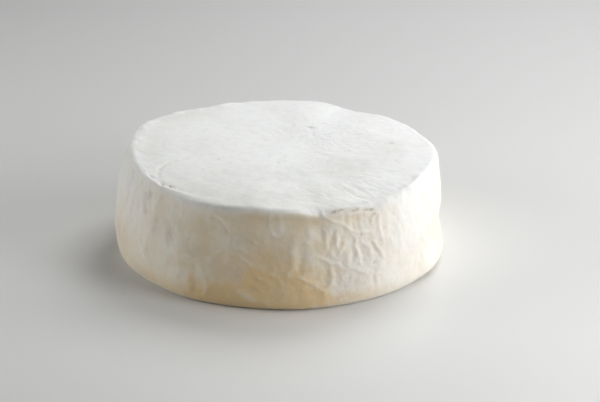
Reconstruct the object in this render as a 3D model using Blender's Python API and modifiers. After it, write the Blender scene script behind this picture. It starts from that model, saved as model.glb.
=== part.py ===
"""A whole wheel of soft goat's cheese in its white rind, modelled at its real size.

The wheel stands on its flat base at z = 0, with the Z axis through its middle. Lengths are in
metres. Angles around the wheel are in degrees from the front, -Y, and grow towards +X.
"""

import math
from collections import namedtuple

import bpy
from mathutils import Vector, geometry, noise

NAME = "soft_goat_cheese"

# Driving sizes of the wheel as it leaves its mould.
BELLY_RADIUS = 0.0971
BELLY_HEIGHT = 0.0120
RIM_RADIUS = 0.0905
RIM_HEIGHT = 0.0568
LIP_RADIUS = 0.0866
DISH_RADIUS = 0.0615
DISH_DEPTH = 0.0004
SHOULDER_DROP = 0.0055
SHOULDER_SOFTNESS = 0.0026
SHOULDER_LEAN = 0.0009
SHOULDER_CORNER = 0.0016
WALL_SWELL = 0.0048
WALL_SWELL_DROP = 0.0195
BASE_ROUNDING = 0.0052
BASE_TUCK = 0.0013

# How finely the section and the turn are divided.
STEPS_AROUND = 180
TOP_RINGS = 10
SHOULDER_RINGS = 4
WALL_RINGS = 11
FOOT_RINGS = 4
MERGE_DISTANCE = 0.00001

# How the wheel settled while it ripened: soft swells around it, with their half-widths in degrees.
# The lifts fade towards the middle of the top by the given power of the radius.
LIFT_POWER = 3
Swell = namedtuple("Swell", "angle half_width amount")
RIM_LIFTS = (
    Swell(-140, 20, -0.0005),
    Swell(-105, 28, 0.0060),
    Swell(-45, 22, 0.0018),
    Swell(12, 7, -0.0018),
    Swell(32, 12, -0.0041),
    Swell(68, 14, 0.0015),
    Swell(112, 20, -0.0020),
    Swell(150, 10, -0.0017),
    Swell(168, 12, 0.0012),
    Swell(-170, 14, -0.0008),
)
RIM_SPREADS = (
    Swell(-65, 28, -0.0034),
    Swell(85, 30, -0.0025),
    Swell(150, 32, -0.0060),
)
FOOT_SPREADS = (
    Swell(-110, 22, -0.0015),
    Swell(-80, 30, 0.0019),
    Swell(-34, 12, 0.0013),
    Swell(8, 10, 0.0007),
    Swell(55, 16, -0.0006),
    Swell(92, 28, -0.0051),
)

# Soft bulges and dents in the wall, each with its half-widths around in degrees and up in metres.
Bulge = namedtuple("Bulge", "angle height half_angle half_height amount")
BULGES = (
    Bulge(88, 0.040, 34, 0.012, -0.0012),
    Bulge(88, 0.020, 36, 0.012, -0.0040),
    Bulge(86, 0.003, 34, 0.007, 0.0007),
    Bulge(62, 0.004, 14, 0.006, 0.0017),
    Bulge(-80, 0.030, 30, 0.012, 0.0011),
    Bulge(-85, 0.046, 26, 0.009, 0.0014),
    Bulge(25, 0.0485, 7, 0.0050, -0.0017),
    Bulge(13, 0.022, 8, 0.009, -0.0008),
    Bulge(30, 0.018, 10, 0.010, 0.0010),
    Bulge(-12, 0.047, 16, 0.007, -0.0008),
    Bulge(-42, 0.038, 9, 0.010, -0.0010),
    Bulge(-38, 0.018, 16, 0.011, 0.0008),
    Bulge(118, 0.040, 12, 0.011, -0.0014),
    Bulge(150, 0.020, 18, 0.010, 0.0012),
    Bulge(-160, 0.046, 12, 0.008, -0.0014),
    Bulge(-128, 0.022, 14, 0.012, 0.0011),
)

# Folds and grooves in the rind of the wall, along routes whose stops are (angle, height).
Fold = namedtuple("Fold", "relief half_width stops")
WALL_FOLDS = (
    Fold(0.0014, 0.0025, ((13.5, 0.0530), (19.5, 0.0478), (24, 0.0423), (31, 0.0395))),
    Fold(0.0012, 0.0024, ((33.5, 0.0485), (34.5, 0.0380), (32.5, 0.0320), (34.5, 0.0250))),
    Fold(0.0011, 0.0026, ((22, 0.0380), (20.5, 0.0310), (22, 0.0240), (28.5, 0.0205))),
    Fold(0.0009, 0.0026, ((11, 0.0316), (14, 0.0280), (19, 0.0260))),
    Fold(0.0009, 0.0026, ((3.7, 0.0355), (3.7, 0.0290), (2, 0.0220))),
    Fold(0.0010, 0.0028, ((5.5, 0.0207), (10, 0.0160), (14, 0.0106), (20, 0.0073))),
    Fold(0.0006, 0.0026, ((-4.3, 0.0520), (-4, 0.0480), (-1.6, 0.0433))),
    Fold(0.0008, 0.0030, ((-27.7, 0.0253), (-25.3, 0.0170), (-25.5, 0.0085))),
    Fold(-0.0009, 0.0024, ((-56, 0.0530), (-55, 0.0470), (-54, 0.0413))),
    Fold(0.0008, 0.0028, ((-67.5, 0.0560), (-65, 0.0473), (-64, 0.0363))),
    Fold(0.0012, 0.0028, ((112, 0.0510), (119, 0.0440), (127, 0.0350), (131, 0.0240))),
    Fold(0.0009, 0.0028, ((136, 0.0300), (144, 0.0260), (152, 0.0250))),
    Fold(0.0010, 0.0030, ((170, 0.0500), (174, 0.0400), (171, 0.0300), (176, 0.0200))),
    Fold(0.0009, 0.0028, ((200, 0.0300), (208, 0.0240), (216, 0.0150))),
    Fold(0.0010, 0.0030, ((238, 0.0520), (236, 0.0400), (240, 0.0280))),
)

# Wrinkles that run in over the rim, along routes whose stops are (angle, radius).
TOP_FOLDS = (
    Fold(0.0006, 0.0022, ((30, 0.0530), (31, 0.0660), (32, 0.0790))),
    Fold(0.0006, 0.0022, ((34, 0.0614), (35.5, 0.0730), (37.5, 0.0826))),
    Fold(0.0006, 0.0022, ((43.5, 0.0542), (48.5, 0.0630), (51, 0.0723))),
    Fold(0.0006, 0.0024, ((24, 0.0700), (23.5, 0.0780), (24, 0.0856))),
    Fold(0.0005, 0.0026, ((127, 0.0600), (124, 0.0720), (126, 0.0850))),
    Fold(0.0005, 0.0026, ((-151, 0.0660), (-149, 0.0740), (-152, 0.0850))),
)

# The unevenness of the whole rind, and of the rim in particular.
LUMP_SIZE = 0.024
WALL_LUMP = 0.0009
TOP_LUMP = 0.0006
LUMP_PLACE = Vector((3.1, 8.4, 5.7))
SCALLOP_SIZE = 0.013
SCALLOP_DEPTH = 0.0009
SCALLOP_HALF_WIDTH = 0.0050

# Relief fades to nothing below this height, so that the base stays flat.
CALM_HEIGHT = 0.0060

RIND_COLOUR = (0.86, 0.83, 0.76, 1.0)
RIND_ROUGHNESS = 0.75


def clear_scene():
    """Remove every object, so that the wheel is built alone."""
    for old in list(bpy.data.objects):
        bpy.data.objects.remove(old, do_unlink=True)


def rind_material():
    """The matt white rind."""
    material = bpy.data.materials.new("white_rind")
    material.use_nodes = True
    shader = material.node_tree.nodes["Principled BSDF"]
    shader.inputs["Base Color"].default_value = RIND_COLOUR
    shader.inputs["Roughness"].default_value = RIND_ROUGHNESS
    shader.inputs["Metallic"].default_value = 0.0
    return material


def curved_run(start, start_handle, end_handle, end, count):
    """The points of one smooth stretch of the section, after its start."""
    stops = [Vector((radius, 0, height)) for radius, height in (start, start_handle, end_handle, end)]
    return geometry.interpolate_bezier(*stops, count + 1)[1:]


def wheel_section():
    """Half of the section, from the middle of the top down its outer side to the base's middle."""
    floor_of_dish = RIM_HEIGHT - DISH_DEPTH
    middle = (0, floor_of_dish)
    lip = (LIP_RADIUS, RIM_HEIGHT)
    shoulder = (RIM_RADIUS + SHOULDER_LEAN, RIM_HEIGHT - SHOULDER_DROP)
    belly = (BELLY_RADIUS, BELLY_HEIGHT)
    foot = (BELLY_RADIUS - BASE_ROUNDING, 0)
    points = [Vector((0, 0, floor_of_dish))]
    points += curved_run(
        middle,
        (LIP_RADIUS / 2, floor_of_dish),
        (DISH_RADIUS, RIM_HEIGHT),
        lip,
        TOP_RINGS,
    )
    points += curved_run(
        lip,
        (LIP_RADIUS + SHOULDER_SOFTNESS, RIM_HEIGHT),
        (RIM_RADIUS, RIM_HEIGHT - SHOULDER_CORNER),
        shoulder,
        SHOULDER_RINGS,
    )
    points += curved_run(
        shoulder,
        (RIM_RADIUS + WALL_SWELL, RIM_HEIGHT - WALL_SWELL_DROP),
        (BELLY_RADIUS, 2 * BELLY_HEIGHT),
        belly,
        WALL_RINGS,
    )
    points += curved_run(
        belly,
        (BELLY_RADIUS, BELLY_HEIGHT / 2),
        (BELLY_RADIUS - BASE_TUCK, 0),
        foot,
        FOOT_RINGS,
    )
    points.append(Vector((0, 0, 0)))
    return points


def turned_wheel():
    """The mesh of the wheel as it leaves its mould: the section turned about the Z axis."""
    section = wheel_section()
    outline = bpy.data.meshes.new("section")
    outline.from_pydata(section, [(i, i + 1) for i in range(len(section) - 1)], [])
    turning = bpy.data.objects.new("section", outline)
    bpy.context.collection.objects.link(turning)
    turn = turning.modifiers.new("turn", "SCREW")
    turn.steps = STEPS_AROUND
    turn.render_steps = STEPS_AROUND
    turn.use_merge_vertices = True
    turn.merge_threshold = MERGE_DISTANCE
    depsgraph = bpy.context.evaluated_depsgraph_get()
    turned = bpy.data.meshes.new_from_object(turning.evaluated_get(depsgraph))
    bpy.data.objects.remove(turning, do_unlink=True)
    bpy.data.meshes.remove(outline)
    return turned


def bump(offset, half_width):
    """A soft bump: 1 where the offset is 0, fading out past the half-width."""
    return math.exp(-(offset / half_width) ** 2)


def ramp(value, end):
    """A soft ramp from 0 at 0 to 1 at the end."""
    share = min(max(value / end, 0.0), 1.0)
    return share * share * (3 - 2 * share)


def angle_of(point):
    """The angle of a point around the wheel, in degrees from the front."""
    return math.degrees(math.atan2(point.x, -point.y))


def angle_between(angle, other):
    """The degrees from one angle to another, the short way round."""
    return (angle - other + 180) % 360 - 180


def swell_sum(swells, angle):
    """What all the swells of one kind add at an angle."""
    return sum(swell.amount * bump(angle_between(angle, swell.angle), swell.half_width) for swell in swells)


def settled(point):
    """Where a point of the turned wheel lies once the wheel has settled."""
    angle = angle_of(point)
    rise = point.z / RIM_HEIGHT
    spread = rise * swell_sum(RIM_SPREADS, angle) + (1 - rise) * swell_sum(FOOT_SPREADS, angle)
    scale = 1 + spread / BELLY_RADIUS
    reach = math.hypot(point.x, point.y) / RIM_RADIUS
    lift = rise * min(reach, 1.0) ** LIFT_POWER * swell_sum(RIM_LIFTS, angle)
    return Vector((point.x * scale, point.y * scale, point.z + lift))


def distance_to_route(place, route):
    """How far a flat place is from the nearest stretch of a route."""
    nearest = math.inf
    for start, end in zip(route, route[1:]):
        _, share = geometry.intersect_point_line(place, start, end)
        foot = start.lerp(end, min(max(share, 0.0), 1.0))
        nearest = min(nearest, (place - foot.to_2d()).length)
    return nearest


def wall_route(fold, angle):
    """A wall fold's route, unrolled flat so that the given angle lies at zero."""
    first = fold.stops[0][0]
    offset = angle_between(first, angle)
    return [
        Vector((BELLY_RADIUS * math.radians(offset + stop - first), height))
        for stop, height in fold.stops
    ]


def top_route(fold):
    """A top fold's route, seen from above."""
    return [
        Vector((radius * math.sin(math.radians(angle)), -radius * math.cos(math.radians(angle))))
        for angle, radius in fold.stops
    ]


def fold_relief(fold, place, route):
    """How far a fold stands out at a flat place."""
    return fold.relief * bump(distance_to_route(place, route), fold.half_width)


def wall_relief(angle, height):
    """How far the bulges and folds stand out at a place on the wall."""
    place = Vector((0, height))
    relief = sum(fold_relief(fold, place, wall_route(fold, angle)) for fold in WALL_FOLDS)
    for bulge in BULGES:
        around = bump(angle_between(angle, bulge.angle), bulge.half_angle)
        relief += bulge.amount * around * bump(height - bulge.height, bulge.half_height)
    return relief


def top_relief(place):
    """How far the folds stand out at a place on the top, seen from above."""
    return sum(fold_relief(fold, place, top_route(fold)) for fold in TOP_FOLDS)


def relief_at(point, normal):
    """How far the rind stands out of the smooth settled wheel at a point."""
    top_share = ramp(normal.z, 1.0)
    wall_share = 1 - top_share
    lumps = noise.noise(point / LUMP_SIZE + LUMP_PLACE)
    relief = lumps * (WALL_LUMP * wall_share + TOP_LUMP * top_share)
    relief += wall_share * wall_relief(angle_of(point), point.z)
    relief += top_share * top_relief(point.xy)
    from_rim = math.hypot(point.x, point.y) - RIM_RADIUS
    scallops = noise.noise(point / SCALLOP_SIZE)
    relief += SCALLOP_DEPTH * scallops * top_share * bump(from_rim, SCALLOP_HALF_WIDTH)
    return relief * ramp(point.z, CALM_HEIGHT)


def centre_on_axis(mesh):
    """Shift the mesh so that the Z axis passes through the middle of its widths."""
    for axis in range(2):
        places = [vertex.co[axis] for vertex in mesh.vertices]
        middle = (min(places) + max(places)) / 2
        for vertex in mesh.vertices:
            vertex.co[axis] -= middle


def make_wheel(collection):
    """The whole cheese: turned, settled, wrinkled and set on its axis."""
    mesh = turned_wheel()
    mesh.name = "cheese_wheel"
    for vertex in mesh.vertices:
        vertex.co = settled(vertex.co)
    mesh.update()
    standing_out = [relief_at(vertex.co, vertex.normal) * vertex.normal for vertex in mesh.vertices]
    for vertex, offset in zip(mesh.vertices, standing_out):
        vertex.co += offset
    centre_on_axis(mesh)
    mesh.shade_smooth()
    mesh.materials.append(rind_material())
    wheel = bpy.data.objects.new("cheese_wheel", mesh)
    collection.objects.link(wheel)
    return wheel


def main():
    """Build the model in a collection named for the object."""
    clear_scene()
    collection = bpy.data.collections.new(NAME)
    bpy.context.scene.collection.children.link(collection)
    make_wheel(collection)


main()
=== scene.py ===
"""The looks of a wheel of soft goat's cheese: its wrinkled white rind, and a plain studio round it.

The file is laid out as a Blender add-on. One operator makes the wheel and one makes the stage,
and a panel in the 3D view's sidebar lists them. Lengths are in metres. Angles around the wheel
are in degrees from the front, which is -Y, and grow towards +X.
"""

import math
import random
from collections import namedtuple

import bpy
import numpy as np
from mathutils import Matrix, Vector, geometry, noise


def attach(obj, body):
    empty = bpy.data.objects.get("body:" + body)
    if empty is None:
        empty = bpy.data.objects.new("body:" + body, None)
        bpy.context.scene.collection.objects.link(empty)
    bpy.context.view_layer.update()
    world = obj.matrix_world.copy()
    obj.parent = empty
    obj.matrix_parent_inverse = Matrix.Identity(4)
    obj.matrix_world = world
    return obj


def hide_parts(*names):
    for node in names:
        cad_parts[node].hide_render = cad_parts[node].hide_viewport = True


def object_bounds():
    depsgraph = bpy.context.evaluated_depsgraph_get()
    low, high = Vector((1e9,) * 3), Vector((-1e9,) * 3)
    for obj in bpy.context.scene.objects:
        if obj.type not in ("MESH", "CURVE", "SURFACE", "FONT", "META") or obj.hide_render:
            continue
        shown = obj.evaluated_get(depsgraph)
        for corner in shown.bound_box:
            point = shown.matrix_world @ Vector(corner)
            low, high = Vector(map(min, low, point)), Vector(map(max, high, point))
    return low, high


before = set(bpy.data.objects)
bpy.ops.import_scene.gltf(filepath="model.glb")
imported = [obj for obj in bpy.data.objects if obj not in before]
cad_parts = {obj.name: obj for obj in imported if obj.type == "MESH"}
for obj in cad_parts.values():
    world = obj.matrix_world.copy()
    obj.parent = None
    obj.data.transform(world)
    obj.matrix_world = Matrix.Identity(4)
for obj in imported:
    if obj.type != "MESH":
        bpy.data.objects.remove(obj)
CAD_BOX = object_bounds()

bl_info = {
    "name": "Soft Goat Cheese",
    "version": (1, 0, 0),
    "blender": (4, 5, 0),
    "location": "View3D > Sidebar > Cheese",
    "description": "Dresses a wheel of soft goat's cheese in its wrinkled white rind",
    "category": "Object",
}


def rows(kind, *values):
    """A table of records of one kind, from the values of each."""
    return tuple(kind(*row) for row in values)


NODE = "cheese_wheel"
BODY = "root"

# The section of the wheel as it leaves its mould.
BELLY_RADIUS = 0.0971
BELLY_HEIGHT = 0.0120
RIM_RADIUS = 0.0905
RIM_HEIGHT = 0.0568
LIP_RADIUS = 0.0866
DISH_RADIUS = 0.0615
DISH_DEPTH = 0.0004
SHOULDER_DROP = 0.0055
SHOULDER_SOFTNESS = 0.0026
SHOULDER_LEAN = 0.0009
SHOULDER_CORNER = 0.0016
WALL_SWELL = 0.0048
WALL_SWELL_DROP = 0.0195
BASE_ROUNDING = 0.0052
BASE_TUCK = 0.0013

# How finely the rind is divided.
STEPS_AROUND = 640
TOP_RINGS = 62
SHOULDER_RINGS = 14
WALL_RINGS = 62
FOOT_RINGS = 9
BASE_RINGS = 6

# How the rim settled: soft swells around the wheel, with their half-widths in degrees. The lifts
# fade towards the middle of the top by the given power of the radius.
LIFT_POWER = 3
Swell = namedtuple("Swell", "angle half_width amount")
RIM_LIFTS = rows(
    Swell,
    (-140, 20, -0.0005),
    (-105, 28, 0.0060),
    (-45, 22, 0.0018),
    (12, 7, -0.0018),
    (32, 12, -0.0041),
    (68, 14, 0.0015),
    (112, 20, -0.0020),
    (150, 10, -0.0017),
    (168, 12, 0.0012),
    (-170, 14, -0.0008),
)

# Slighter lifts and dips of the rim, which the rind has and the solid inside it hasn't.
FINER_RIM_LIFTS = rows(
    Swell,
    (-42, 26, -0.0024),
    (-12, 6, 0.0010),
    (-1, 4, -0.0002),
)

# How far the rim and the foot were pushed out, or in.
RIM_SPREADS = rows(
    Swell,
    (-65, 28, -0.0034),
    (85, 30, -0.0025),
    (150, 32, -0.0060),
)
FOOT_SPREADS = rows(
    Swell,
    (-110, 22, -0.0015),
    (-80, 30, 0.0019),
    (-34, 12, 0.0013),
    (8, 10, 0.0007),
    (55, 16, -0.0006),
    (92, 28, -0.0051),
)

# Soft bulges and dents in the wall, each with its half-widths around in degrees and up in metres.
Bulge = namedtuple("Bulge", "angle height half_angle half_height amount")
BULGES = rows(
    Bulge,
    (88, 0.040, 34, 0.012, -0.0012),
    (88, 0.020, 36, 0.012, -0.0040),
    (86, 0.003, 34, 0.007, 0.0007),
    (62, 0.004, 14, 0.006, 0.0017),
    (-80, 0.030, 30, 0.012, 0.0011),
    (-85, 0.046, 26, 0.009, 0.0014),
    (25, 0.0485, 7, 0.0050, -0.0017),
    (13, 0.022, 8, 0.009, -0.0008),
    (30, 0.018, 10, 0.010, 0.0006),
    (-12, 0.047, 16, 0.007, -0.0008),
    (-42, 0.038, 9, 0.010, -0.0010),
    (-38, 0.018, 16, 0.011, 0.0008),
    (118, 0.040, 12, 0.011, -0.0014),
    (150, 0.020, 18, 0.010, 0.0012),
    (-160, 0.046, 12, 0.008, -0.0014),
    (-128, 0.022, 14, 0.012, 0.0011),
)

# How folds are drawn: the pieces between two stops, how far a fold is felt in half-widths and in
# degrees, the share of its length over which an end fades, and a least squared length. Then how
# many stops the strewn ones have, and how much they bend and lean.
ROUTE_PIECES = 5
FOLD_REACH = 2.6
NEAR_ANGLE = 60
FOLD_END = 0.12
TINY = 1e-12
STREWN_STOPS = 5
STREWN_BEND = 0.22
STREWN_LEAN = 0.4

# How wavy the folds are, how large the waves are, and how much a fold's height varies. Each noise
# is read at a place of its own, so that no two are alike. The radius that turns waves into degrees
# is never less than the least one.
WAVER = 0.0006
WAVER_SIZE = 0.0055
WAVER_AROUND_PLACE = Vector((4.4, 0.6, 9.1))
WAVER_ACROSS_PLACE = Vector((8.3, 5.2, 1.9))
VIGOUR_SIZE = 0.0042
VIGOUR_PLACE = Vector((2.2, 7.5, 3.8))
FOLD_UNEVENNESS = 0.35
STREWN_UNEVENNESS = 0.9
LEAST_RADIUS = 0.02

# Raised folds and sunk creases of the rind. Their sizes are in millimetres. A stop of a route is
# (angle, down), where down is the way over the rind from the crest of the rim: it grows down the
# wall, and is negative on the top. The lean, from -1 to 1, makes one flank longer than the other.
MILLIMETRE = 0.001
Fold = namedtuple("Fold", "relief half_width stops lean", defaults=(0.0,))
FOLDS = rows(
    Fold,
    # The flap's edge and the crumpled folds at the front right.
    (0.42, 1.0, (
        (13.2, 4.1), (15.5, 7.0), (17.5, 9.0), (19.7, 10.2), (21.3, 12.4), (22.6, 14.0),
        (24.3, 15.3), (26.1, 16.0), (27.6, 15.6), (30.2, 16.8)), 0.2),
    (0.40, 1.0, ((34.3, 6.5), (33.8, 11.5), (33.7, 15.7), (34.3, 20.8), (34.7, 24.0))),
    (0.45, 1.1, ((31.1, 21.5), (32.1, 25.7), (33.3, 29.5), (34.4, 32.8))),
    (0.45, 1.3, ((20.8, 19.7), (19.8, 23.3), (18.7, 26.5))),
    (0.25, 1.0, ((18.3, 18.7), (17.5, 22.6))),
    (0.32, 1.1, ((24.2, 20.3), (24.4, 24.6), (25.1, 29.3), (25.3, 32.8))),
    (0.38, 1.1, ((28.6, 22.3), (29.1, 26.6), (29.8, 30.9), (30.5, 33.6))),
    (0.42, 1.5, ((21.7, 27.8), (21.2, 31.0), (20.9, 34.5))),
    (0.42, 1.2, ((21.8, 35.5), (23.7, 37.0), (25.3, 38.3), (27.7, 39.2))),
    (0.40, 2.4, ((20.1, 37.9), (20.0, 41.4), (20.7, 45.0))),
    (-0.08, 1.6, ((23.7, 39.6), (25.3, 42.5), (25.3, 45.5), (24.8, 47.8))),
    (-0.30, 1.0, ((30.4, 32.3), (30.3, 35.8))),
    (0.28, 1.0, ((31.2, 38.0), (31.0, 43.1), (32.0, 49.7))),
    (-0.25, 1.1, ((29.8, 43.2), (29.8, 47.8))),
    (0.30, 1.0, ((31.5, 8.0), (30.9, 12.2))),
    (0.16, 0.8, ((27.2, 6.9), (27.1, 12.7))),
    (0.20, 0.9, ((23.1, 5.1), (22.4, 11.2))),
    (0.18, 0.8, ((20.2, 4.8), (19.7, 8.7))),
    (0.14, 0.8, ((25.3, 8.0), (25.1, 13.7))),
    (0.16, 0.9, ((29.8, 5.7), (28.7, 10.1), (28.8, 14.1))),
    (-0.22, 0.9, ((21.4, 3.9), (21.4, 9.4))),
    (-0.16, 0.8, ((26.3, 4.6), (25.8, 9.7))),
    (-0.35, 2.0, ((23.5, 19.9), (23.3, 25.2), (23.4, 31.0))),
    (-0.26, 1.3, ((19.7, 18.3), (18.5, 21.8))),
    (-0.28, 1.5, ((26.5, 23.8), (26.4, 28.5), (26.4, 33.3))),
    (-0.32, 1.2, ((29.9, 22.2), (31.3, 26.7), (32.6, 31.5))),
    (0.28, 1.2, ((18.0, 15.0), (17.4, 19.7), (18.0, 25.0))),
    (-0.20, 0.9, ((15.8, 16.3), (15.2, 21.7))),
    (0.22, 1.0, ((14.4, 16.8), (13.9, 23.5))),
    (0.22, 1.0, ((16.3, 21.7), (15.8, 27.5))),
    (0.35, 0.8, ((31.0, 8.7), (34.0, 5.3))),
    (-0.30, 1.1, ((39.6, 9.9), (41.8, 14.7), (43.1, 18.8), (43.3, 23.0))),
    (0.22, 1.3, ((37.6, 10.3), (37.1, 17.0), (36.0, 24.2))),
    (0.22, 1.4, ((39.8, 18.9), (39.8, 25.9), (38.7, 32.5))),
    (-0.30, 1.2, ((12.4, 0.0), (12.0, 4.3))),
    (0.30, 1.0, ((13.5, 1.5), (13.4, 4.5))),
    # The longer, softer folds across the front.
    (0.44, 1.2, ((11.4, 27.3), (13.7, 29.8), (15.7, 32.1), (17.8, 32.9), (19.5, 36.1))),
    (0.40, 1.3, ((15.4, 34.3), (16.0, 39.9), (15.7, 45.0))),
    (-0.25, 1.8, ((13.8, 38.3), (13.5, 43.1), (13.6, 47.0))),
    (0.56, 2.0, ((3.2, 23.2), (3.3, 29.6), (2.7, 34.2), (1.1, 38.9))),
    (-0.38, 2.0, ((6.0, 24.8), (5.6, 30.5), (5.6, 36.2))),
    (0.33, 1.2, ((4.4, 38.3), (7.3, 40.7), (9.0, 42.6), (11.0, 44.7), (13.3, 47.5))),
    (-0.25, 2.2, ((8.2, 47.0), (10.1, 50.0), (11.8, 53.4))),
    (0.50, 1.2, ((-4.0, 5.4), (-4.5, 9.4), (-4.1, 12.4), (-3.4, 15.0), (-2.0, 16.5))),
    (0.31, 1.3, ((-1.0, 6.7), (-0.5, 10.9), (-1.3, 14.7))),
    (0.38, 2.4, ((8.4, 10.1), (8.8, 15.3), (7.7, 20.8))),
    (-0.25, 1.4, ((12.9, 10.1), (12.6, 13.9), (12.4, 18.3))),
    (-0.35, 1.4, ((16.8, 13.6), (16.2, 19.0))),
    (-0.35, 2.4, ((-1.3, 18.0), (-1.7, 22.4), (-1.0, 26.7))),
    (0.14, 2.0, ((4.6, 14.6), (3.4, 18.4), (4.5, 21.0))),
    (0.38, 1.6, ((-6.4, 52.5), (-4.8, 55.0), (-2.4, 56.4))),
    (0.40, 2.0, ((-15.0, 47.5), (-13.2, 48.9), (-11.5, 51.0))),
    (-0.35, 2.0, ((-10.6, 46.4), (-8.2, 49.1))),
    (0.33, 1.5, ((-16.9, 26.3), (-14.6, 28.9), (-11.5, 31.8), (-10.0, 34.6))),
    (0.28, 1.4, ((-14.3, 24.0), (-11.8, 26.3), (-10.1, 29.5))),
    (0.30, 1.6, ((-4.1, 31.4), (-3.3, 34.6), (-4.1, 38.1))),
    (-0.22, 2.2, ((-8.5, 36.5), (-7.9, 39.6), (-8.4, 43.2))),
    (0.25, 1.5, ((-20.5, 17.2), (-18.9, 20.1), (-19.3, 24.0), (-18.5, 26.5))),
    (0.30, 1.6, ((-25.5, 33.7), (-23.0, 29.7), (-20.1, 24.1))),
    (-0.30, 2.0, ((-22.4, 41.4), (-19.7, 42.0))),
    (0.55, 1.0, ((-24.7, 7.2), (-22.0, 8.7), (-20.2, 10.8), (-18.6, 13.9), (-17.7, 17.3))),
    (0.25, 1.2, ((-27.5, 9.4), (-25.3, 12.2), (-25.3, 15.6))),
    (0.50, 1.9, ((-27.9, 36.7), (-25.9, 41.8), (-25.3, 46.7), (-25.9, 52.7))),
    (-0.25, 1.6, ((-30.3, 35.3), (-28.9, 40.5), (-29.2, 47.7), (-29.7, 53.5))),
    # The grooves and soft pleats at the left.
    (-0.85, 1.4, ((-57.6, 8.7), (-56.9, 12.3), (-55.7, 16.3), (-54.4, 19.5)), -0.5),
    (-0.85, 3.2, ((-56.1, 6.7), (-55.4, 10.8), (-54.5, 15.6)), 0.5),
    (0.30, 1.1, ((-47.1, 3.4), (-49.5, 8.1), (-50.4, 13.4), (-51.3, 17.8))),
    (0.40, 2.2, ((-55.1, 21.6), (-51.3, 19.8), (-48.8, 16.3))),
    (0.50, 1.3, ((-66.4, 9.4), (-65.9, 16.1), (-65.4, 23.3), (-64.7, 29.8))),
    (-0.35, 1.4, ((-71.9, 10.1), (-70.9, 16.4), (-68.7, 23.7))),
    (0.28, 1.3, ((-74.8, 13.4), (-73.8, 21.4), (-71.5, 31.5), (-69.6, 40.1))),
    (-0.25, 1.2, ((-61.9, 7.2), (-61.3, 14.9), (-59.9, 22.2))),
    (0.30, 1.4, ((-57.2, 26.3), (-56.3, 35.0), (-53.1, 41.1))),
    (-0.25, 1.6, ((-48.9, 17.0), (-47.6, 22.0), (-46.2, 28.2))),
    (-0.26, 1.5, ((-41.5, 20.2), (-39.8, 26.1))),
    (0.26, 1.6, ((-44.3, 19.2), (-42.8, 26.4), (-41.1, 32.2))),
    (-0.30, 2.2, ((-34.0, 23.5), (-31.5, 29.1))),
    (0.24, 1.2, ((-38.7, 3.6), (-37.5, 8.2), (-37.4, 12.6))),
    (0.20, 1.0, ((-43.2, 5.0), (-41.7, 9.5), (-42.1, 14.1))),
    (0.22, 1.6, ((-37.0, 32.6), (-34.9, 39.5), (-35.7, 47.7))),
    (0.22, 1.5, ((-49.3, 35.6), (-46.7, 42.1), (-44.4, 47.8))),
    # The crust, cracks and creases of the rim and the top.
    (0.38, 1.2, (
        (-66.4, 3.7), (-59.6, 2.8), (-54.6, 2.0), (-49.2, 1.1), (-43.8, 0.3), (-36.5, -0.7),
        (-30.1, -1.1))),
    (-0.25, 0.9, (
        (-61.9, 1.5), (-57.3, 0.1), (-52.4, -1.3), (-47.6, -1.9), (-41.9, -2.5), (-37.8, -3.0))),
    (-0.80, 0.9, ((-54.0, 0.4), (-50.8, -0.1))),
    (-0.70, 0.8, ((-49.4, -1.5), (-47.2, -1.9))),
    (-0.40, 0.8, ((-60.7, 1.1), (-58.6, 0.2))),
    (-0.35, 0.8, ((-44.9, -3.5), (-41.7, -3.7))),
    (-0.55, 1.1, (
        (-58.0, -2.5), (-65.3, -7.2), (-70.1, -12.9), (-73.3, -20.2), (-75.7, -27.9))),
    (-0.16, 1.0, ((48.4, -29.1), (49.5, -23.3), (50.4, -17.2))),
    (-0.24, 1.1, ((30.5, -19.5), (31.0, -13.2), (32.5, -8.3), (34.3, -2.7))),
    (0.20, 1.1, ((38.1, -23.0), (37.8, -16.4), (37.3, -10.6), (36.9, -3.8))),
    (-0.20, 1.0, ((18.2, -14.8), (20.6, -10.4), (23.0, -7.1))),
    (-0.16, 1.1, ((26.2, -27.7), (28.3, -20.6), (28.6, -11.3))),
    (0.16, 1.2, ((32.0, -29.0), (33.1, -20.9), (32.9, -12.9))),
    (-0.15, 1.2, ((-7.1, -15.1), (-3.0, -12.5), (0.0, -9.6))),
    (-0.16, 1.0, ((41.1, -9.6), (40.6, -2.5), (40.5, 2.4))),
    (-0.14, 1.0, ((42.0, -18.8), (42.8, -11.9), (43.6, -5.4))),
    (-0.14, 1.2, ((7.1, -32.2), (11.6, -25.7), (14.9, -18.0))),
    (-0.60, 0.8, ((75.3, -20.1), (75.0, -19.8))),
    (0.16, 1.0, ((41.1, 4.6), (45.1, 3.2), (49.4, 2.4), (54.9, 1.7), (61.8, 0.8))),
    (-0.22, 0.9, ((51.1, -2.6), (49.0, 1.5), (47.2, 3.2))),
    (-0.12, 0.9, ((57.7, -2.3), (55.6, 1.0))),
    (-0.16, 0.8, ((47.9, -3.0), (45.6, 1.9), (44.8, 4.3))),
    (-0.16, 0.8, ((42.2, 0.4), (42.2, 3.4))),
    # The longer folds of the back.
    (0.42, 2.4, ((112, 4.1), (119, 11.2), (127, 21.2), (131, 33.2)), 0.3),
    (0.35, 2.0, ((136, 28.2), (144, 32.2), (152, 33.2))),
    (0.38, 2.6, ((170, 6.1), (174, 17.2), (171, 28.2), (176, 39.2)), 0.2),
    (0.34, 2.2, ((200, 29.2), (208, 35.2), (216, 45.2))),
    (0.38, 2.6, ((238, 4.1), (236, 17.2), (240, 30.2)), -0.2),
)

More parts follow.
